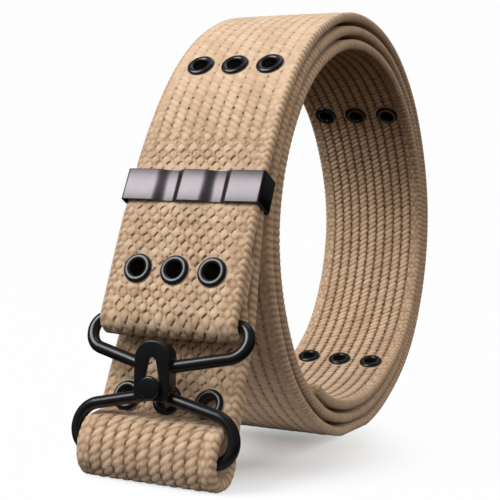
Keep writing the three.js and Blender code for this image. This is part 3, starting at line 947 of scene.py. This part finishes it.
seats = {
    "lower_front": (*seat(main_line, lower_front, 1), 2, eyelet_pitch),
    "upper_front": (*seat(main_line, upper_front, 1), 1, eyelet_pitch),
    "buckle": (*seat(lower_line, lower_row, -1), 2, wide_eyelet_pitch),
    "top_back": (*seat(main_line, turn_length(row_turns["top_back"]), 1), 1, eyelet_pitch),
    "low_back": (*seat(main_line, turn_length(row_turns["low_back"]), 1), 1, eyelet_pitch),
    "inner_high": (
        *seat(main_line, turn_length(row_turns["inner_high"]), -1), 1, wide_eyelet_pitch
    ),
    "inner_low": (*seat(main_line, turn_length(row_turns["inner_low"]), -1), 1, wide_eyelet_pitch),
}


def seat_matrix(point, facing, across):
    """Sets a piece made along Z on its seat, with Z the way that the seat faces."""
    z_axis = Vector((0, facing[0], facing[1])).normalized()
    x_axis = Vector((1, 0, 0))
    y_axis = z_axis.cross(x_axis)
    turn = Matrix((x_axis, y_axis, z_axis)).transposed().to_4x4()
    place = in_room(np.array(across), point)
    return Matrix.Translation(place.tolist()) @ turn


# %% Set the eyelets
eyelet_pieces = []
pattern = {
    layers: turned(f"eyelet pattern {layers}", eyelet_profile(layers), steps=40)
    for layers in (1, 2)
}
for row_name, (point, facing, layers, pitch) in seats.items():
    for number, across in enumerate(row_places(pitch), start=1):
        node = f"eyelet_{row_name}_{number}"
        only(pattern[layers])
        bpy.ops.object.duplicate()
        piece = bpy.context.object
        piece.name = f"{node}_rolled"
        piece.data.transform(seat_matrix(point, facing, across))
        bpy.ops.object.shade_smooth_by_angle(angle=math.radians(60))
        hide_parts(node)
        eyelet_pieces.append(piece)
for piece in pattern.values():
    bpy.data.objects.remove(piece)
print("eyelets:", len(eyelet_pieces))

# %% [markdown]
# ## The keeper
# The keeper is a band of sheet metal, bent round both straps, with two shallow channels pressed
# into its face. Its outline starts as a circle of points, is moved onto the bent shape, and is
# extruded over the keeper's height. Solidify gives the sheet its thickness and Bevel its soft
# edges.

# %% Outline of the keeper
keeper_side_gap = 0.6
keeper_wall = 0.8
keeper_face = 1.9
keeper_corner = 1.1
channel_pitch = 20.6
keeper_sheet_share = 0.85
channel_fall = (-6.6, -0.4)
channel_rise = (2.6, 5.6)
channel_depth = 1.3


def channel_drop(across):
    """How deep the keeper's face is pressed in at a place across the strap."""
    drop = np.zeros_like(across)
    for middle in (-channel_pitch / 2, channel_pitch / 2):
        off = across - middle
        inside = smooth_share(off, *channel_fall) * (1 - smooth_share(off, *channel_rise))
        drop = np.maximum(drop, channel_depth * inside)
    return drop


def keeper_outline():
    """Points of the keeper's outer skin, across the strap and out from the front run's middle."""
    outer = strap_width / 2 + keeper_side_gap + keeper_wall
    face = half_thickness + clearance + keeper_face
    back = -(behind_strip + half_thickness + clearance + keeper_wall)
    corner = keeper_corner
    across = np.linspace(-outer + corner, outer - corner, 140)
    points = list(zip(across, face - channel_drop(across)))
    points += arc_points((outer - corner, face - corner), (corner, corner), 80, 0, 6)
    points += [(outer, height) for height in np.linspace(face - corner - 1, back + corner + 1, 5)]
    points += arc_points((outer - corner, back + corner), (corner, corner), 0, -90, 7)
    points += [(x, back) for x in np.linspace(outer - corner - 4, -outer + corner + 4, 11)]
    points += arc_points((-outer + corner, back + corner), (corner, corner), -90, -180, 7)
    points += [(-outer, height) for height in np.linspace(back + corner + 1, face - corner - 1, 5)]
    points += arc_points((-outer + corner, face - corner), (corner, corner), 180, 100, 6)
    return points


# %% Bend the keeper
select_none()
foot = -keeper_height / 2 * MM
keeper_band = point_ring("keeper_band", [(x * MM, foot, out * MM) for x, out in keeper_outline()])
edit()
bpy.ops.mesh.extrude_region_move(TRANSFORM_OT_translate={"value": (0, keeper_height * MM, 0)})
end_edit()
make_sheet(
    keeper_band, keeper_wall * MM * keeper_sheet_share, 0.22 * MM, edge_segments=2, edge_angle=50
)
keeper_point, keeper_way = at_length(front_line, np.array([keeper_above + keeper_height / 2]))
keeper_out = sideways(keeper_way)[0]
keeper_band.data.transform(seat_matrix(keeper_point[0], keeper_out, 0.0))
only(keeper_band)
bpy.ops.object.shade_smooth_by_angle(angle=math.radians(40))
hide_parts("keeper")
print("keeper", count_triangles(keeper_band), "triangles")

# %% [markdown]
# ## The wire loops
# Each loop is bent from one round wire, as on a bending jig. A circle of points is the wire's
# section: it is extruded along each straight run and spun round each bend.

# %% Sizes of the loops
loop_across = strap_width / 2 + 4.4
upper_loop_drop = 10.6
upper_loop_forward = 5.2
loop_bend = 7.0
plate_width = 14.6
plate_height = 22.2
plate_depth = 6.6
plate_wall = 2.0
plate_forward = 15.3
plate_top_drop = 6.3
wire_in_plate_drop = 16.0
stud_drop = 23.6
lower_wire_drop = 3.0
wire_end_inset = 1.4

plate_front = upper_bar[0] - plate_forward
plate_top = upper_bar[1] - plate_top_drop
stud_height = upper_bar[1] - stud_drop
lower_wire_y = plate_front + plate_wall + clearance + wire_radius


def room_point(across, y, z):
    return Vector((across, y + side_shift, z)) * MM


# %% Bend a wire
def bent_wire(name, points, bend, sides=20, bend_steps=10):
    """A round wire along straight runs through the points, with its corners bent."""
    select_none()
    bpy.ops.mesh.primitive_circle_add(vertices=sides, radius=wire_radius * MM, fill_type="NGON")
    piece = bpy.context.object
    piece.name = name
    heading = (points[1] - points[0]).normalized()
    facing = heading.to_track_quat("Z", "Y").to_matrix().to_4x4()
    piece.data.transform(Matrix.Translation(points[0]) @ facing)
    edit()
    here = points[0]
    for before, corner, beyond in zip(points, points[1:], points[2:]):
        leaving = (beyond - corner).normalized()
        turn = heading.angle(leaving)
        reach = min(bend, (corner - before).length / 2, (beyond - corner).length / 2)
        radius = reach / math.tan(turn / 2)
        bend_start = corner - heading * reach
        axis = heading.cross(leaving).normalized()
        centre = bend_start + axis.cross(heading) * radius
        bpy.ops.mesh.extrude_region_move(TRANSFORM_OT_translate={"value": bend_start - here})
        bpy.ops.mesh.spin(steps=bend_steps, angle=-turn, center=centre, axis=axis)
        here = corner + leaving * reach
        heading = leaving
    bpy.ops.mesh.extrude_region_move(TRANSFORM_OT_translate={"value": points[-1] - here})
    end_edit()
    bpy.ops.object.shade_smooth_by_angle(angle=math.radians(50))
    return piece


def wire_course(end_across, end_place, half):
    """A loop's corners from its left end round to its right end, the same on both sides."""
    left = [room_point(-loop_across, *place) for place in half]
    right = [room_point(loop_across, *place) for place in reversed(half)]
    left_end, right_end = (room_point(side * end_across, *end_place) for side in (-1, 1))
    return [left_end, *left, *right, right_end]


plate_wire_y = plate_front + plate_depth - wire_radius - clearance
plate_wire_z = upper_bar[1] - wire_in_plate_drop
corner_y = upper_bar[0] - upper_loop_forward
corner_z = upper_bar[1] - upper_loop_drop
wire_end = plate_width / 2 - wire_end_inset
upper_half = [(corner_y, corner_z), tuple(upper_bar)]
upper_wire = bent_wire(
    "upper_wire", wire_course(wire_end, (plate_wire_y, plate_wire_z), upper_half), loop_bend
)
roll_top = roll[1] + roll_middle + roll_rise + half_thickness
lower_corner_z = roll_top + wire_radius
lower_wire_z = stud_height - lower_wire_drop
lower_bar_y = roll[0] - (roll_middle - half_thickness - wire_radius - clearance)
lower_half = [(lower_wire_y, lower_corner_z), (lower_bar_y, roll[1])]
lower_wire = bent_wire(
    "lower_wire", wire_course(wire_radius / 2, (lower_wire_y, lower_wire_z), lower_half), loop_bend
)
print("wires:", count_triangles(upper_wire) + count_triangles(lower_wire), "triangles")

# %% [markdown]
# ## The hook plate
# The plate is pressed from sheet: an arch with a slot that is narrow at the top and wide at the
# foot, and cheeks that turn back along its rim. Two loops of points, the arch and the slot, are
# bridged into the front. The rim is extruded back for the cheeks, and Solidify and Bevel finish
# the sheet.

# %% Outlines of the plate and its slot
slot_top_radius = 1.7
slot_foot_radius = 3.5
slot_top_below = 8.0
stud_neck = 2.2
plate_corner = 2.4


def arch_outline(half_width, foot, top, corner, count):
    """An outline with a round top and small round feet, from the middle of its top clockwise."""
    points = arc_points((0, top - half_width), (half_width, half_width), 90, 0, count)
    points += arc_points((half_width - corner, foot + corner), (corner, corner), 0, -90, count // 2)
    left = [(-x, z) for x, z in reversed(points[1:])]
    return points + left


def even_loop(points, count):
    """The same closed outline with evenly spaced points."""
    closed = np.array(points + points[:1])
    reached = lengths_along(closed)
    spots = np.linspace(0, reached[-1], count + 1)[:-1]
    return np.stack([np.interp(spots, reached, closed[:, k]) for k in (0, 1)], -1)


def slot_outline(top_height, foot_height):
    """A slot with a narrow round top and a wider round foot, clockwise from its top."""
    widening = (slot_foot_radius - slot_top_radius) / (top_height - foot_height)
    tilt = math.degrees(math.asin(widening))
    points = arc_points((0, top_height), (slot_top_radius,) * 2, 90, tilt, 12)
    points += arc_points((0, foot_height), (slot_foot_radius,) * 2, tilt, -90, 20)
    left = [(-x, z) for x, z in reversed(points[1:-1])]
    return points + left


# %% Press the plate
loop_points = 72
cheek_depth = plate_depth - 0.4
plate_sheet = 1.9
plate_foot = plate_top - plate_height
arch = arch_outline(plate_width / 2, plate_foot, plate_top, plate_corner, count=28)
outer_loop = even_loop(arch, loop_points)
slot_foot = stud_height - stud_neck - clearance + slot_foot_radius
inner_loop = even_loop(slot_outline(plate_top - slot_top_below, slot_foot), loop_points)
select_none()
slot_ring, hook_plate = (
    point_ring(name, [room_point(across, plate_front, height) for across, height in loop])
    for name, loop in (("slot", inner_loop), ("hook_plate", outer_loop))
)
slot_ring.select_set(True)
bpy.ops.object.join()
edit()
bpy.ops.mesh.bridge_edge_loops()
bpy.ops.mesh.select_all(action="DESELECT")
bpy.ops.object.mode_set(mode="OBJECT")
wire_slope = (lower_wire_z - lower_corner_z) / loop_across
cheek_foot = lower_wire_z - wire_slope * (plate_width / 2 - plate_wall) + wire_radius
cheek_foot += 2 * clearance
for edge in hook_plate.data.edges:
    ends = [hook_plate.data.vertices[i].co for i in edge.vertices]
    on_rim = all(i < loop_points for i in edge.vertices)
    edge.select = on_rim and all(co.z > cheek_foot * MM for co in ends)
bpy.ops.object.mode_set(mode="EDIT")
bpy.ops.mesh.select_mode(type="EDGE")
bpy.ops.mesh.extrude_region_move(TRANSFORM_OT_translate={"value": (0, cheek_depth * MM, 0)})
end_edit()
make_sheet(hook_plate, plate_sheet * MM, 0.75 * MM, edge_segments=4, edge_angle=48)
only(hook_plate)
bpy.ops.object.shade_smooth_by_angle(angle=math.radians(40))
print("hook plate:", count_triangles(hook_plate), "triangles")

# %% The stud
stud_head = 4.4
stud_thick = 2.0
neck_length = lower_wire_y + wire_radius - (plate_front - clearance)
stud_profile = [(0, 0), (stud_neck, 0), (stud_neck, neck_length), (stud_head - 0.25, neck_length)]
stud_profile += arc_points((stud_head - 0.7, neck_length + 0.9), (0.7, 0.9), -20, 80, 7)
stud_profile += [(stud_head - 1.6, neck_length + stud_thick - 0.08), (0, neck_length + stud_thick)]
stud = turned("stud", stud_profile, 48)
stud_back = room_point(0, lower_wire_y + wire_radius, stud_height)
stud.data.transform(Matrix.Translation(stud_back) @ Matrix.Rotation(math.radians(90), 4, "X"))
only(stud)
bpy.ops.object.shade_smooth_by_angle(angle=math.radians(50))
print("stud:", count_triangles(stud), "triangles")

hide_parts("hook_loop")
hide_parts("hook_loop")
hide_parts("stud_loop")
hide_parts("stud_loop")
main_pieces = [webbing_front, webbing_upper, webbing_outer, webbing_middle, webbing_inner]
for piece in main_pieces:
    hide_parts("strap")
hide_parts("strap_lower")

# %% [markdown]
# ## Finishes
# The cloth's colour follows the weave: light tan on top of each kernel and painted shade, brown, in
# the gaps, with a slightly different tone for every kernel. A shader group turns the cloth's own
# coordinates into painted shade in the small dark crevices between the yarns, and into the fibre of
# the yarn. The metals are a satin black enamel and a polished gunmetal plating, and a second group
# gives both their grain.


# %% Node helpers
def new_material(name):
    material = bpy.data.materials.new(name)
    material.use_nodes = True
    return material, material.node_tree, material.node_tree.nodes["Principled BSDF"]


def set_socket(tree, socket, value):
    """Links a socket to another, or sets its constant. None leaves it as it is."""
    if isinstance(value, bpy.types.NodeSocket):
        tree.links.new(value, socket)
    elif value is not None:
        socket.default_value = value


def math_node(tree, operation, a, b=None, c=None):
    """A Math node. Its inputs are sockets or plain numbers."""
    node = tree.nodes.new("ShaderNodeMath")
    node.operation = operation
    for socket, value in zip(node.inputs, (a, b, c)):
        set_socket(tree, socket, value)
    return node.outputs[0]


def noise_node(tree, vector, scale, detail=2.0, roughness=0.5):
    node = tree.nodes.new("ShaderNodeTexNoise")
    node.inputs["Scale"].default_value = scale
    node.inputs["Detail"].default_value = detail
    node.inputs["Roughness"].default_value = roughness
    tree.links.new(vector, node.inputs["Vector"])
    return node.outputs["Fac"]


def ramp_node(tree, value, stops):
    """A colour ramp with rows of place and colour."""
    node = tree.nodes.new("ShaderNodeValToRGB")
    while len(node.color_ramp.elements) < len(stops):
        node.color_ramp.elements.new(0.5)
    for element, (place, colour) in zip(node.color_ramp.elements, stops):
        element.position = place
        element.color = (*colour, 1)
    tree.links.new(value, node.inputs["Fac"])
    return node.outputs["Color"]


def mix_colour(tree, share, a, b, blend="MIX"):
    node = tree.nodes.new("ShaderNodeMix")
    node.data_type = "RGBA"
    node.blend_type = blend
    for label, value in (("Factor", share), ("A", a), ("B", b)):
        set_socket(tree, node.inputs[label], value)
    return node.outputs["Result"]


# %% The weave group
plain = "NodeSocketFloat"
vector = "NodeSocketVector"


def new_group(name, inputs, outputs):
    """A shader group with vector or plain inputs and plain outputs."""
    group = bpy.data.node_groups.new(name, "ShaderNodeTree")
    for label, kind in inputs:
        group.interface.new_socket(label, in_out="INPUT", socket_type=kind)
    for label in outputs:
        group.interface.new_socket(label, in_out="OUTPUT", socket_type=plain)
    ends = group.nodes.new("NodeGroupInput"), group.nodes.new("NodeGroupOutput")
    return group, ends[0].outputs, ends[1].inputs


weave_group, weave_in, weave_out = new_group(
    "weave", [("Cloth", vector), ("Slack", plain), ("Slit", plain)], ["Crevice", "Fibre"]
)


def work(operation, a, b=None, c=None):
    """A Math node in the weave group."""
    return math_node(weave_group, operation, a, b, c)


def rise(value, low, high):
    """0 at low, 1 at high, and a smooth change between them. low may be above high."""
    node = weave_group.nodes.new("ShaderNodeMapRange")
    node.interpolation_type = "SMOOTHSTEP"
    node.inputs["From Min"].default_value = low
    node.inputs["From Max"].default_value = high
    weave_group.links.new(value, node.inputs["Value"])
    return node.outputs["Result"]


def off_whole(value):
    """How far a value is from the nearest whole number, with its sign."""
    return work("SUBTRACT", value, work("ROUND", value))


def wandering(value, noise, reach):
    """A value shifted a little to either side by a noise."""
    return work("ADD", value, work("MULTIPLY_ADD", noise, reach, -reach / 2))


# Columns and half rows of kernels, each counted from the strap's middle and its tail.
cloth = weave_in["Cloth"]
cloth_split = weave_group.nodes.new("ShaderNodeSeparateXYZ")
weave_group.links.new(cloth, cloth_split.inputs["Vector"])
columns = work("MULTIPLY", cloth_split.outputs["X"], strap_width / kernel_pitch)
columns = wandering(columns, noise_node(weave_group, cloth, 34, 2, 0.6), 0.3)
half_rows = work("MULTIPLY", cloth_split.outputs["Y"], strap_width / row_pitch / 2)
half_rows = wandering(half_rows, noise_node(weave_group, cloth, 21, 1, 0.5), 0.26)

# Painted shade beside a plump kernel: a deep dark crevice on the slant where shade falls and a
# faint one on the other, in patches.
along_rise = work("ABSOLUTE", off_whole(work("ADD", columns, half_rows)))
along_fall = work("ABSOLUTE", off_whole(work("SUBTRACT", columns, half_rows)))
patches = rise(noise_node(weave_group, cloth, 27, 1, 0.5), 0.33, 0.55)
deep_side_shade = work("MULTIPLY", rise(along_fall, 0.34, 0.46), rise(along_rise, 0.42, 0.24))
faint_side_shade = work("MULTIPLY", rise(along_rise, 0.42, 0.5), rise(along_fall, 0.4, 0.2))
deep_side_shade = work("MULTIPLY", deep_side_shade, work("MULTIPLY_ADD", patches, 0.75, 0.25))
faint_side_shade = work("MULTIPLY", faint_side_shade, work("MULTIPLY", patches, 0.25))
plump_crevice_shade = work("MAXIMUM", deep_side_shade, faint_side_shade)

# Painted shade between two ropes: a row of dark slits, shifted by half a place in every second
# groove.
slit_half_width = 0.42
groove_place = work("SUBTRACT", columns, 0.5)
groove = work("ROUND", groove_place)
groove_off = work("SUBTRACT", groove_place, groove)
half_turn = work("MULTIPLY", work("FLOORED_MODULO", groove, 2.0), 0.5)
slit_off = off_whole(work("SUBTRACT", half_rows, half_turn))
slit_across = work("MULTIPLY", groove_off, kernel_pitch / slit_half_width)
slit_along = work("DIVIDE", work("MULTIPLY", slit_off, 2 * row_pitch), weave_in["Slit"])
squares = [work("MULTIPLY", off, off) for off in (slit_across, slit_along)]
slit_reach = work("SQRT", work("ADD", *squares))
rope_slit_shade = work("SUBTRACT", 1.0, rise(slit_reach, 0.7, 1.15))
groove_shade = work("MULTIPLY", rise(work("ABSOLUTE", groove_off), 0.12, 0.0), 0.07)
rope_slit_shade = work("MAXIMUM", rope_slit_shade, groove_shade)

# Painted shade: the slits between ropes and the crevices beside kernels, mixed by slack.
crevice_shade_mix = weave_group.nodes.new("ShaderNodeMix")
for socket, value in zip((0, 2, 3), (weave_in["Slack"], rope_slit_shade, plump_crevice_shade)):
    weave_group.links.new(value, crevice_shade_mix.inputs[socket])
weave_group.links.new(crevice_shade_mix.outputs[0], weave_out["Crevice"])
weave_group.links.new(noise_node(weave_group, cloth, 150, 3, 0.65), weave_out["Fibre"])

# %% The grain group
grain_group, grain_in, grain_out = new_group(
    "grain", [("Place", vector), ("Scale", plain)], ["Grain"]
)
grain_noise = grain_group.nodes.new("ShaderNodeTexNoise")
grain_noise.inputs["Detail"].default_value = 3
grain_group.links.new(grain_in["Place"], grain_noise.inputs["Vector"])
grain_group.links.new(grain_in["Scale"], grain_noise.inputs["Scale"])
grain_group.links.new(grain_noise.outputs["Fac"], grain_out["Grain"])


def group_node(tree, group):
    node = tree.nodes.new("ShaderNodeGroup")
    node.node_tree = group
    return node


# %% The webbing's finish
cotton, cotton_tree, cotton_shader = new_material("cotton webbing")
cloth_map = cotton_tree.nodes.new("ShaderNodeUVMap")
cloth_map.uv_map = "cloth"
painted = {}
for label in ("yarn_shade_height", "tone", "slack", "slit", "open_shade"):
    attribute_node = cotton_tree.nodes.new("ShaderNodeAttribute")
    attribute_node.attribute_name = label
    painted[label] = attribute_node.outputs["Fac"]
cotton_weave = group_node(cotton_tree, weave_group)
cotton_tree.links.new(cloth_map.outputs["UV"], cotton_weave.inputs["Cloth"])
cotton_tree.links.new(painted["slack"], cotton_weave.inputs["Slack"])
cotton_tree.links.new(painted["slit"], cotton_weave.inputs["Slit"])
fibre = cotton_weave.outputs["Fibre"]
# Painted shade: the cotton's tan on the kernels' tops, darkening to brown at low heights in the
# gaps where shade falls.
shade_height_and_fibre = math_node(
    cotton_tree, "ADD", painted["yarn_shade_height"],
    math_node(cotton_tree, "MULTIPLY", math_node(cotton_tree, "SUBTRACT", fibre, 0.5), 0.7),
)
yarn_colour_and_shade = ramp_node(
    cotton_tree, shade_height_and_fibre,
    [
        (0.0, (0.14, 0.078, 0.042)), (0.35, (0.36, 0.235, 0.145)), (0.65, (0.54, 0.385, 0.26)),
        (1.0, (0.67, 0.495, 0.35)),
    ],
)
tone_shift = ramp_node(
    cotton_tree, math_node(cotton_tree, "MULTIPLY_ADD", painted["tone"], 0.5, 0.5),
    [(0.0, (0.86, 0.83, 0.8)), (0.5, (1.0, 0.98, 0.95)), (1.0, (1.0, 1.0, 1.0))],
)
toned = mix_colour(cotton_tree, 1.0, yarn_colour_and_shade, tone_shift, "MULTIPLY")
cloud = noise_node(cotton_tree, cloth_map.outputs["UV"], 6, 2, 0.5)
cloud_shift = ramp_node(cotton_tree, cloud, [(0.3, (0.93, 0.92, 0.9)), (0.7, (1, 1, 1))])
toned = mix_colour(cotton_tree, 1.0, toned, cloud_shift, "MULTIPLY")
# Painted shade: dark crevices between the yarns, mixed into the colour toward a near black brown.
crevice_shade = math_node(cotton_tree, "MULTIPLY", cotton_weave.outputs["Crevice"], painted["open_shade"])
painted_shade_share = math_node(cotton_tree, "MULTIPLY", crevice_shade, 0.9)
toned = mix_colour(cotton_tree, painted_shade_share, toned, (0.05, 0.025, 0.012, 1))
cotton_tree.links.new(toned, cotton_shader.inputs["Base Color"])
cotton_shader.inputs["Roughness"].default_value = 0.9
cotton_shader.inputs["Specular IOR Level"].default_value = 0.2
cotton_shader.inputs["Sheen Weight"].default_value = 0.15
yarn_bump = cotton_tree.nodes.new("ShaderNodeBump")
yarn_bump.inputs["Strength"].default_value = 0.7
yarn_bump.inputs["Distance"].default_value = 0.0005
cotton_tree.links.new(
    math_node(cotton_tree, "SUBTRACT", math_node(cotton_tree, "MULTIPLY", fibre, 0.8), crevice_shade),
    yarn_bump.inputs["Height"],
)
cotton_tree.links.new(yarn_bump.outputs["Normal"], cotton_shader.inputs["Normal"])


# %% The metals
def metal_finish(name, grain_scale, low_colour, high_colour, roughness):
    """A metal's finish, whose colour and gloss vary a little with the shared grain."""
    material, tree, shader = new_material(name)
    grain = group_node(tree, grain_group)
    tree.links.new(tree.nodes.new("ShaderNodeTexCoord").outputs["Object"], grain.inputs["Place"])
    grain.inputs["Scale"].default_value = grain_scale
    seen = grain.outputs["Grain"]
    colour = ramp_node(tree, seen, [(0.3, low_colour), (0.7, high_colour)])
    tree.links.new(colour, shader.inputs["Base Color"])
    gloss = math_node(tree, "MULTIPLY_ADD", seen, 0.015, roughness - 0.008)
    tree.links.new(gloss, shader.inputs["Roughness"])
    return material, shader


enamel, enamel_shader = metal_finish(
    "black enamel", 900, (0.0065, 0.0065, 0.0075), (0.0075, 0.0075, 0.0085), 0.27
)
enamel_shader.inputs["Specular IOR Level"].default_value = 0.5
gunmetal, gunmetal_shader = metal_finish(
    "gunmetal plating", 400, (0.088, 0.078, 0.082), (0.095, 0.085, 0.089), 0.34
)
gunmetal_shader.inputs["Metallic"].default_value = 1.0

# %% Dress every piece
webbing_pieces = [*main_pieces, webbing_lower]
black_pieces = [*eyelet_pieces, upper_wire, lower_wire, hook_plate, stud]


def dress(pieces, material):
    """Gives pieces their finish and lets them ride on the belt's body."""
    for piece in pieces:
        piece.data.materials.clear()
        piece.data.materials.append(material)
        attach(piece, "root")


dress(webbing_pieces, cotton)
dress(black_pieces, enamel)
dress([keeper_band], gunmetal)

all_pieces = webbing_pieces + black_pieces + [keeper_band]
print("triangles in all:", sum(count_triangles(piece) for piece in all_pieces))
